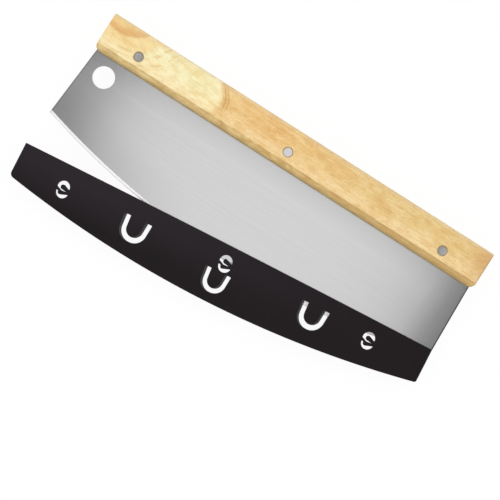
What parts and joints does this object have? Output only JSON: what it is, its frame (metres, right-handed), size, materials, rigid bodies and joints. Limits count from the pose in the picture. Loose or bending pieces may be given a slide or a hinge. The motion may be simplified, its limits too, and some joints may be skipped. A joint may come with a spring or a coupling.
{
  "type": "rocking pizza knife",
  "caption": "Long curved steel blade in a wooden bar handle held by flush rivets, with a slotted black edge cover half off.",
  "frame": {"origin": "middle of the handle's flat back face, on which the knife lies", "axes": "+X along the handle to the right, +Y from the cutting edge towards the handle, +Z from the back face to the front face"},
  "size_m": [0.363, 0.1585, 0.018],
  "materials": {
    "satin_steel": "satin ground stainless steel, smooth to the touch, with a brighter ground edge",
    "rubberwood": "pale oiled rubberwood with fine straight grain and small dark pores",
    "rivet_steel": "dull polished steel heads, sanded flush with the wood",
    "black_plastic": "black polypropylene sheet with a fine satin surface"
  },
  "bodies": {
    "knife": {"blade": "satin_steel", "handle": "rubberwood", "rivet_sleeve_left": "rivet_steel", "rivet_sleeve_middle": "rivet_steel", "rivet_sleeve_right": "rivet_steel", "rivet_stud_left": "rivet_steel", "rivet_stud_middle": "rivet_steel", "rivet_stud_right": "rivet_steel"},
    "cover": {"cover_front_sheet": "black_plastic", "cover_back_sheet": "black_plastic", "cover_strip": "black_plastic"}
  },
  "joints": [
    {"name": "cover_swing", "type": "hinge", "parent": "knife", "child": "cover", "pos_m": [0.3347, -0.08945, 0.009], "axis": [0, 0, 1], "range_deg": [-5.5, 10]}
  ]
}
